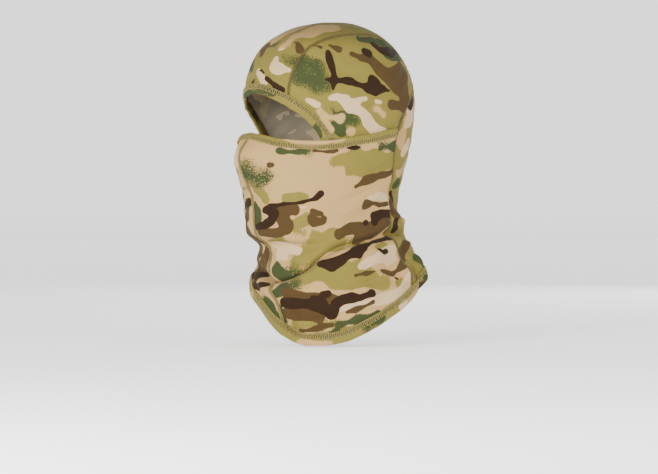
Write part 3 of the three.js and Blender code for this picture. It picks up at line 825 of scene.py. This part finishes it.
mask_print = {
    1: join_strokes(strokes(.001, round_point, {
        "olive": [
            [(62, -66, 5), (72, -62, 10), (84, -60, 12), (100, -64, 12), (120, -62, 10)],
            [(76, -72, 8), (92, -72, 8)], [(3, -69, 4), (7, -70, 3)], [(4, -86, 6), (9, -96, 7),
            (12, -105, 5)], [(28, -105, 4), (40, -102, 3)], [(40, -121, 5), (36, -130, 6),
            (32, -139, 6), (38, -142, 5)], [(6, -148, 5), (22, -147, 4)], [(30, -172, 8),
            (38, -162, 10), (46, -150, 11), (58, -148, 11), (68, -151, 10)], [(80, -149, 7),
            (92, -153, 6)], [(60, -186, 15), (78, -184, 15), (96, -192, 12)], [(110, -197, 7)],
            [(34, -192, 11), (50, -186, 12)], [(36, -240, 6), (52, -240, 6), (64, -239, 6)],
            [(70, -246, 6), (86, -243, 5)], [(100, -160, 6), (108, -156, 5)]],
        "green": [
            [(24, -53, 4.4), (33, -55, 5.2), (42, -54, 4.2)], [(104, -48, 4.5),
            (121, -48, 5.5)], [(2, -75, 10), (9, -80, 11), (13, -81, 9)], [(3, -108, 4),
            (3, -116, 6), (3, -124, 6.5), (2, -131, 4)], [(12, -178, 7), (20, -181, 8),
            (31, -182, 7)], [(17, -206, 6), (25, -200, 8), (34, -198, 6)], [(64, -239, 4),
            (78, -234, 6), (91, -228, 5)], [(50, -250, 3), (62, -247, 3)], [(17, -226, 8),
            (22, -238, 6)]],
        "cream": [
            [(36, -114, 2.6), (40, -113, 2.6)], [(10, -153, 6), (20, -158, 7), (32, -160, 5)],
            [(13, -166, 6), (20, -168, 5)], [(99, -104, 5), (107, -102, 6), (117, -104, 5),
            (122, -111, 4)], [(81, -179, 4), (90, -174, 6), (99, -170, 7), (108, -164, 6),
            (115, -160, 5)], [(104, -174, 5), (112, -170, 4)], [(67, -223, 3.5), (75, -219, 4),
            (86, -216, 5), (98, -212, 7), (111, -206, 7)], [(112, -206, 8), (118, -198, 8),
            (123, -188, 6)]],
        "brown": [
            [(46, -53, 2.8), (55, -53.5, 3), (64, -51.5, 2.4)], [(18, -115, 5), (24, -116, 7),
            (32, -116, 7)], [(24, -128, 8), (27, -136, 7)], [(5, -141, 4), (14, -141, 5),
            (22, -139, 5)], [(44, -117, 4), (50, -120, 4.5)], [(43, -124, 3.5), (46, -130, 4.5),
            (52, -130, 4.5), (53, -126, 3)], [(66, -142, 4), (74, -139, 5), (86, -135, 6)],
            [(84, -146, 6), (96, -140, 8), (108, -136, 8), (118, -130, 6)], [(91, -114, 3),
            (95, -110, 5), (102, -109, 4), (110, -111, 4), (119, -109, 3)], [(82, -90, 3),
            (92, -85, 5), (104, -80, 4), (119, -75, 4)], [(77, -187, 2), (88, -184, 3),
            (97, -182, 4), (106, -186, 4), (114, -180, 4), (120, -176, 4)], [(28, -208, 6),
            (41, -209, 5), (55, -211, 6), (64, -214, 5)], [(30, -226, 8), (42, -227, 9),
            (52, -229, 7)], [(38, -247, 3), (50, -245, 4), (60, -240, 3)], [(70, -227, 3),
            (80, -222, 4), (88, -216, 3)], [(18, -67, 1.3), (20, -67, 1.3)]],
        "dark": [
            [(50, -98, 3), (46, -104, 2.6), (36, -109, 1.8), (26, -110, 1.8), (16, -111, 2.2),
            (12, -115, 3)], [(13, -117, 4), (18, -121, 5.5), (17, -128, 6), (10, -134, 4),
            (2, -136, 2)], [(103, -131, 3), (105, -124, 5), (112, -121, 5), (120, -122, 5),
            (127, -125, 4)], [(91, -131, 1.8), (93, -130, 1.8)], [(52, -175, 3), (60, -175, 7),
            (68, -171, 5)], [(68, -171, 5), (80, -164, 8), (87, -160, 5)], [(87, -158, 3),
            (96, -153, 3), (112, -149, 3.6), (124, -147, 3.6), (129, -150, 2)], [(100, -162, 2),
            (104, -165, 2.2), (108, -163, 2.2)], [(23, -216, 4), (33, -218, 5), (43, -218, 5),
            (53, -220, 7), (60, -228, 7)], [(60, -227, 7), (62, -218, 5), (67, -213, 5),
            (74, -211, 4.5)], [(74, -211, 3.2), (80, -211, 3.6), (87, -206, 5)],
            [(57, -206, 3.2), (53, -206, 2.8)], [(46, -210, 1.4), (52, -210, 1.4)],
            [(107, -190, 1.8), (109, -191, 1.8)], [(66, -49.6, 1.4), (76, -49, 2),
            (90, -47.8, 1.4)]]})),
    -1: join_strokes(strokes(.001, round_point, {
        "green": [[(4, -216, 8), (12, -228, 8), (20, -240, 5)]],
        "cream": [[(-8, -216, 4), (-2, -226, 3)]],
        "brown": [
            [(-8, -110, 6), (-11, -122, 7)], [(-12, -140, 6), (-8, -146, 6)], [(-6, -154, 8),
            (-4, -166, 9), (-10, -178, 11), (-16, -190, 10)], [(-20, -110, 8), (-24, -124, 9),
            (-20, -142, 8)], [(-22, -152, 10), (-26, -166, 11), (-28, -182, 10)]],
        "dark": [[(-19, -199, 3.5), (-3, -201, 4.5), (8, -199, 4)]]}),
        stray_strokes(31, (-120, -26, -190, -55), 11, round_point, .001))}
for sign, hand in ((1, "left"), (-1, "right")):
    u = np.linspace(0, 1, MASK_COLS)
    split = int(round(BACK_STRIP * (MASK_COLS - 1)))
    v = np.concatenate([np.linspace(0, 1, LEDGE_ROWS)[:-1], np.linspace(1, 2, 84)])
    grid = mask_point(sign, u[None, :], v[:, None])
    sink, needle_holes_and_shadow = seam_dip(grid, [CROWN_SEAMS[sign], FRONT_SEAM])
    level = lift(grid) + sink
    cell_u, cell_v = np.arange(MASK_COLS - 1)[None, :], np.arange(len(v) - 1)[:, None]
    behind = (cell_u >= split) & (cell_v < LEDGE_ROWS - 1)
    front, area = cloth_sheet(f"{hand}_mask_cloth", grid, level, level + CLOTH,
                              mask_print[sign], keep=~behind, sewn=needle_holes_and_shadow)
    # The strip along the back seam stays with the hood.
    rear, _ = cloth_sheet(f"{hand}_mask_back_strip", grid, level, level + CLOTH,
                          mask_print[sign], keep=behind, sewn=needle_holes_and_shadow)
    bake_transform(front)
    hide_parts(f"{hand}_mask_panel")
    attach(rear, "hood")

# ---- Face opening binding ---------------------------------------------------------
# A strip of the printed knit folded round the edge of the face opening, and held by a
# row of cover stitching on the hood side of the fold.
FACE_WIDTH, MASK_WIDTH, HEM_WIDTH = .0105, .0080, .0120


def resample(points, step):
    d = np.concatenate([[0], np.linalg.norm(np.diff(points, axis=0), axis=1).cumsum()])
    t = np.linspace(0, d[-1], max(2, int(round(d[-1] / step)) + 1))
    return settle(np.stack([np.interp(t, d, points[:, k]) for k in range(3)], -1))


class Edge:
    """A line on the head shape with the direction in from it, for strips and stitches."""

    def __init__(self, points, within, closed=False):
        if closed:
            points = np.concatenate([points, points[:1]])
        self.points = resample(points, .0015)
        self.closed = closed
        d = np.linalg.norm(np.diff(self.points, axis=0), axis=1)
        self.at = np.concatenate([[0], d.cumsum()])
        self.length = self.at[-1]
        along = np.gradient(self.points, axis=0)
        if closed:
            ends = self.points[1] - self.points[-2]
            along[0] = along[-1] = ends
        along /= np.linalg.norm(along, axis=1, keepdims=True)
        across = np.cross(outward(self.points), along)
        across /= np.linalg.norm(across, axis=1, keepdims=True)
        if ((within - self.points[len(self.points) // 2]) @ across[len(across) // 2]) < 0:
            across = -across
        self.across = across

    def base(self, t, a):
        t, a = np.broadcast_arrays(t, a)
        if self.closed:
            t = np.mod(t, self.length)
        p = np.stack([np.interp(t, self.at, self.points[:, k]) for k in range(3)], -1)
        c = np.stack([np.interp(t, self.at, self.across[:, k]) for k in range(3)], -1)
        return settle(p + c * a[..., None])


def unlifted(base):
    """The level of what lies straight on the head."""
    return np.zeros(base.shape[:-1])


def folded_binding(name, edge, width, level, drawn, row, fullness=.0004):
    """Two legs of cloth and a round fold, as one closed strip."""
    count = int(edge.length / .0017)
    t = np.linspace(0, edge.length, count + 1)[: count if edge.closed else count + 1]
    over, under = 2 * CLOTH + GAP * 1.3, -CLOTH - GAP * 1.3
    middle, half = (over + under) / 2, (over - under) / 2
    outer, inner = [], []
    legs = np.linspace(width, 0, 15)
    outer += [(a, over + fullness * math.sin(math.pi * a / width)) for a in legs]
    for k in range(1, 10):
        c = math.pi / 2 - math.pi * k / 10
        outer.append((-half * math.cos(c) * .8, middle + half * math.sin(c)))
    outer += [(a, under) for a in legs[::-1]]
    inner += [(a, under + CLOTH) for a in legs]
    for k in range(1, 6):
        c = -math.pi / 2 + math.pi * k / 6
        inner.append((-(half - CLOTH) * math.cos(c) * .6, middle + (half - CLOTH) * math.sin(c)))
    inner += [(a, over - CLOTH) for a in legs[::-1]]
    section = np.array(outer + inner)
    base = edge.base(t[:, None], section[None, :, 0])
    depth = section[None, :, 1] + level(base)
    verts = worn(base, depth).reshape(-1, 3)
    n, m = len(t), len(section)
    faces = ring_faces(n, m, edge.closed)
    if not edge.closed:
        pairs = len(outer) - 1
        for last in (0, n - 1):
            o, w = last * m, len(outer)
            cap = [[o + j, o + j + 1] for j in range(pairs)]
            back = [o + w + int(round(j * (len(inner) - 1) / pairs)) for j in range(pairs + 1)]
            for j in range(pairs):
                a, b = cap[j]
                c, d = back[::-1][j + 1], back[::-1][j]
                face = [a, b, c] if c == d else [a, b, c, d]
                faces.append(face if last else face[::-1])
    flat = base.reshape(-1, 3)
    knit = np.stack([np.repeat(t, m), np.tile(np.arange(m) * .001, n), np.zeros(n * m)], -1)
    found = print_attributes(flat, drawn, knit, "olive")
    # The band under the cover stitching is darkened in the colour: needle holes, and painted
    # shadow under the loops.
    low, high = row
    inside = smooth(low - .0004, low + .0003, section[:, 0]) * (
        1 - smooth(high - .0003, high + .0004, section[:, 0]))
    found["stitch"] = np.tile(inside, n)
    made = mesh_object(name, verts, faces, found, [outside_knit])
    facing_out(made)
    return made


def facing_out(made):
    bm = bmesh.new()
    bm.from_mesh(made.data)
    bmesh.ops.recalc_face_normals(bm, faces=bm.faces)
    bm.to_mesh(made.data)
    bm.free()


def sewing_thread(name, tone):
    """Spun polyester thread: soft shine along the twist."""
    material, nodes, links, shader = new_material(name)
    place = nodes.new("ShaderNodeAttribute")
    place.attribute_name = "rest"
    noise = nodes.new("ShaderNodeTexNoise")
    noise.inputs["Scale"].default_value = 420
    links.new(place.outputs["Vector"], noise.inputs["Vector"])
    ramp = nodes.new("ShaderNodeValToRGB")
    ramp.color_ramp.elements[0].position, ramp.color_ramp.elements[1].position = .3, .72
    ramp.color_ramp.elements[0].color = tuple(c * .62 for c in tone[:3]) + (1,)
    ramp.color_ramp.elements[1].color = tone
    links.new(noise.outputs["Fac"], ramp.inputs["Fac"])
    links.new(ramp.outputs["Color"], shader.inputs["Base Color"])
    twist_bump = nodes.new("ShaderNodeBump")
    twist_bump.inputs["Strength"].default_value = .4
    twist_bump.inputs["Distance"].default_value = .0002
    links.new(noise.outputs["Fac"], twist_bump.inputs["Height"])
    links.new(twist_bump.outputs["Normal"], shader.inputs["Normal"])
    shader.inputs["Roughness"].default_value = .65
    shader.inputs["Specular IOR Level"].default_value = .3
    return material


khaki_thread = sewing_thread("khaki_thread", (.225, .180, .052, 1))
brown_thread = sewing_thread("brown_thread", (.115, .085, .026, 1))


def thread_tube(base, height, radius):
    """One thread lying on the cloth, along a row of places."""
    normal = outward(base)
    centre = worn(base, height)
    along = np.gradient(centre, axis=0)
    along /= np.maximum(np.linalg.norm(along, axis=1, keepdims=True), 1e-9)
    side = np.cross(along, normal)
    side /= np.maximum(np.linalg.norm(side, axis=1, keepdims=True), 1e-9)
    up = np.cross(side, along)
    sides = 6
    ring = []
    for k in range(sides):
        c = 2 * math.pi * k / sides
        ring.append(centre + radius * (math.cos(c) * side + math.sin(c) * up))
    verts = np.stack(ring, 1).reshape(-1, 3)
    n = len(base)
    caps = [list(range(sides))[::-1], [(n - 1) * sides + q for q in range(sides)]]
    return verts, ring_faces(n, sides) + caps, np.repeat(base, sides, axis=0)


def thread_object(name, tubes, material):
    verts, faces, rest, shift = [], [], [], 0
    for v, f, r in tubes:
        verts.append(v)
        rest.append(r)
        faces += [[q + shift for q in face] for face in f]
        shift += len(v)
    return mesh_object(name, np.concatenate(verts), faces, {"rest": np.concatenate(rest)},
                       [material])


def zigzag(edge, start, end, pitch, steps, low, high, sharp):
    """Places and phases of a thread that crosses to and fro between two lines."""
    t = np.arange(start, end, pitch / steps)
    phase = (t - start) / pitch * 2 * math.pi
    swing = np.tanh(sharp * np.sin(phase)) / math.tanh(sharp)
    return edge.base(t, (low + high) / 2 + (high - low) / 2 * swing), phase


def cover_stitch(name, edge, row, height, level=unlifted, start=0.0, end=None):
    """A row of looped thread across the strip, with a needle line on each side."""
    pitch, radius = .0048, .00046
    end = edge.length if end is None else end
    base, phase = zigzag(edge, start, end, pitch, 14, *row, 3.2)
    tubes = [thread_tube(base, height + level(base) + radius * .5 * np.cos(phase) ** 2, radius)]
    for a in row:
        t = np.arange(start, end, pitch / 8)
        base = edge.base(t, np.full(len(t), a))
        wave = radius * .7 * np.sin((t - start) / pitch * 4 * math.pi)
        tubes.append(thread_tube(base, height + level(base) - radius * .2 + wave, radius * .85))
    return thread_object(name, tubes, khaki_thread)


def cheek_line(sign):
    rise = np.linspace(-SKIRT, -TEMPLE, 90)
    return round_point(sign * curve(CHEEK, rise), rise)


t = np.linspace(-1, 1, 60)
s = BROW + BROW_ARC * (1 - t**2)
brow = strip_point(s, t * seam_angle(s))
face_edge = Edge(np.concatenate([cheek_line(-1)[:-1], brow, cheek_line(1)[:-1][::-1]]),
                 within=np.array([0, -.05, .09]))
face_row = (FACE_WIDTH - .0056, FACE_WIDTH - .0006)
face_band_print = strokes(.001, round_point, {
    "green": [[(-18, 6, 4), (4, 10, 6), (20, 12, 5)], [(48, -28, 3), (51, -36, 2.5)]],
    "brown": [[(-48, -22, 4), (-44, -14, 4)], [(-70, -60, 5)]],
    "cream": [[(-34, 2, 4)]],
    "sand": [[(84, -80, 8)], [(-84, -84, 8)]]})
made = folded_binding("face_binding_strip", face_edge, FACE_WIDTH, unlifted, face_band_print,
                      face_row)
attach(made, "hood")
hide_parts("face_binding")
ON_BINDING = 2 * CLOTH + GAP * 1.3 + .0003
made = cover_stitch("face_binding_threads", face_edge, face_row, ON_BINDING)
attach(made, "hood")
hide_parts("face_binding_stitching")

# ---- Mask binding -----------------------------------------------------------------
# The top edge of the mask: a folded strip with a narrow elastic tape inside the fold,
# tacked at each end to the back seam. It is what is pulled down to free the face.
u = np.linspace(-.975, .975, 140)
points = np.array([mask_point(1 if x >= 0 else -1, np.array(abs(x)), np.array(0.0), 0.0)
                   for x in u])
mask_edge = Edge(points, within=np.array([0, -.1, -.10]))
mask_row = (MASK_WIDTH - .0050, MASK_WIDTH - .0005)
mask_band_print = strokes(.001, round_point, {
    "sand": [[(28, -38, 8), (46, -40, 9), (66, -38, 8)], [(-20, -38, 7), (-44, -40, 7)]],
    "green": [[(-70, -40, 4), (-84, -36, 5)]],
    "brown": [[(-100, -34, 4)]]})
made = folded_binding("mask_binding_strip", mask_edge, MASK_WIDTH, lift, mask_band_print,
                      mask_row, fullness=.0006)
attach(made, "mask")
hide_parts("mask_binding")
made = cover_stitch("mask_binding_threads", mask_edge, mask_row, ON_BINDING, lift,
                    start=.001, end=mask_edge.length - .001)
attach(made, "mask")
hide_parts("mask_binding_stitching")

# ---- Hem binding ------------------------------------------------------------------
# The same folded strip round the bottom of the collar, but wider. A broad row of cover
# stitching holds it, as on the other edges.
turns = np.linspace(-180, 180, 361)[:-1]
hem_edge = Edge(round_point(turns, curve(HEM, turns)), within=np.array([0, 0, -.15]),
                closed=True)
hem_row = (HEM_WIDTH - .0062, HEM_WIDTH - .0009)
hem_print = strokes(.001, round_point, {
    "sand": [
        [(-40, -195, 6), (-20, -212, 7), (-8, -228, 6)], [(40, -262, 7), (56, -262, 6)],
        [(118, -212, 7), (128, -203, 6)], [(-120, -174, 9), (-95, -180, 8)]],
    "green": [
        [(84, -244, 4), (96, -232, 5)], [(140, -192, 5), (150, -188, 6)], [(-60, -188, 6),
        (-72, -185, 5)]],
    "cream": [[(4, -246, 3), (10, -252, 3)], [(108, -222, 4), (112, -217, 4)]],
    "brown": [[(132, -200, 4), (136, -198, 4)], [(-140, -174, 7), (-150, -175, 6)]],
    "dark": [[(158, -184, 4), (166, -181, 4)], [(-84, -181, 3), (-88, -180, 3)]]})
made = folded_binding("hem_binding_strip", hem_edge, HEM_WIDTH, unlifted, hem_print, hem_row,
                      fullness=.0005)
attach(made, "hood")
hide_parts("hem_binding")
made = cover_stitch("hem_binding_threads", hem_edge, hem_row, ON_BINDING)
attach(made, "hood")
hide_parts("hem_binding_stitching")

# ---- Seams ------------------------------------------------------------------------
# Flat seams: thread crosses from one panel to the other over the join, with a needle
# line on each side. The seam down the front of the mask stands up as a soft ridge.
SEAM_WIDTH, SEAM_HEIGHT = .0022, .0006


def flat_seam(name, points, width, height, material, level=unlifted, radius=.0003):
    pitch = .0040
    edge = Edge(points, within=points[len(points) // 2] + np.array([0, .01, 0]))
    base, _ = zigzag(edge, 0, edge.length, pitch, 12, -width / 2, width / 2, 3)
    tubes = [thread_tube(base, height + level(base), radius)]
    for side in (-1, 1):
        t = np.arange(0, edge.length, pitch / 4)
        base = edge.base(t, np.full(len(t), side * width / 2))
        wave = radius * .6 * np.sin(t / pitch * 2 * math.pi)
        tubes.append(thread_tube(base, height + level(base) + wave, radius * .9))
    return thread_object(name, tubes, material)


for sign, hand in ((1, "left"), (-1, "right")):
    upper = seam_line(sign, 6.5, 180 + SKIRT * 1000 - 2)
    made = flat_seam(f"{hand}_crown_seam_threads", upper, SEAM_WIDTH, SEAM_HEIGHT,
                     brown_thread)
    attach(made, "hood")
    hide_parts(f"{hand}_crown_seam")
    end = 180 - 1000 * float(curve(HEM, sign * 121.0)) - HEM_WIDTH * 1000 - .5
    lower = seam_line(sign, 180 + SKIRT * 1000 - 1, end)
    made = flat_seam(f"{hand}_back_seam_threads", lower, SEAM_WIDTH, SEAM_HEIGHT,
                     brown_thread)
    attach(made, "hood")
    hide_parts(f"{hand}_back_seam")

top = -.0366 - MASK_WIDTH - .0008
bottom = float(curve(HEM, FRONT_TWIST)) + HEM_WIDTH + .0006
heights = np.arange(top, bottom, -.0015)
front_line = round_point(twist(heights), heights)
made = flat_seam("front_seam_threads", front_line, .0025, .0013, khaki_thread, lift,
                 radius=.00040)
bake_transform(made)
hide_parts("front_seam")

# ---- Care label -------------------------------------------------------------------
# A blank satin ribbon label, folded in half and sewn by its top edge inside the back.
low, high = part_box("care_label")
label_width = high[0] - low[0]
across = np.linspace(-.5, .5, 24) * math.degrees(label_width / HEAD_RADIUS)
down = np.linspace(0, 1, 26)
s = 180 + (-high[2] + (high[2] - low[2]) * down) * 1000
grid = strip_point(np.broadcast_to(s[:, None], (26, 24)).copy(),
                   np.broadcast_to(across[None, :], (26, 24)).copy())
satin, nodes, links, shader = new_material("satin_ribbon")
weave = nodes.new("ShaderNodeTexWave")
weave.inputs["Scale"].default_value = 900
place = nodes.new("ShaderNodeAttribute")
place.attribute_name = "rest"
links.new(place.outputs["Vector"], weave.inputs["Vector"])
tones = nodes.new("ShaderNodeMix")
tones.data_type = "RGBA"
tones.inputs["A"].default_value = linear(226, 221, 208)
tones.inputs["B"].default_value = linear(212, 206, 192)
links.new(weave.outputs["Fac"], tones.inputs["Factor"])
links.new(tones.outputs["Result"], shader.inputs["Base Color"])
shader.inputs["Roughness"].default_value = .45
sag = .0006 * np.sin(np.linspace(0, math.pi, 24))[None, :] * down[:, None]
made, area = cloth_sheet("care_label_ribbon", grid, -.0011 - sag, -.0006 - sag,
                         {colour: [] for colour in COLOURS})
made.data.materials[0] = satin
made.data.materials[1] = satin
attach(made, "hood")
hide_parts("care_label")

# ---- Elastic tape -----------------------------------------------------------------
# Narrow woven elastic, laid loose inside the fold of the mask's top edge and tacked to
# the back seams with it. It is hidden while the fold is whole.
rubber, nodes, links, shader = new_material("woven_elastic")
ribs = nodes.new("ShaderNodeTexWave")
ribs.inputs["Scale"].default_value = 400
tape_tones = nodes.new("ShaderNodeValToRGB")
tape_tones.color_ramp.elements[0].color = (.018, .017, .015, 1)
tape_tones.color_ramp.elements[1].color = (.045, .042, .038, 1)
links.new(ribs.outputs["Fac"], tape_tones.inputs["Fac"])
links.new(tape_tones.outputs["Color"], shader.inputs["Base Color"])
shader.inputs["Roughness"].default_value = .8
t = np.linspace(.002, mask_edge.length - .002, 260)
across = np.linspace(TAPE_INSET, TAPE, 5)
section = np.array([(a, .0008) for a in across] + [(a, .0) for a in across[::-1]])
base = mask_edge.base(t[:, None], section[None, :, 0])
verts = worn(base, section[None, :, 1] + lift(base)).reshape(-1, 3)
m = len(section)
faces = ring_faces(len(t), m) + [list(range(m)), [(len(t) - 1) * m + k for k in range(m)]]
made = mesh_object("mask_elastic_tape", verts, faces, {}, [rubber])
made.data.shade_flat()
facing_out(made)
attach(made, "mask")
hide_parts("mask_elastic")
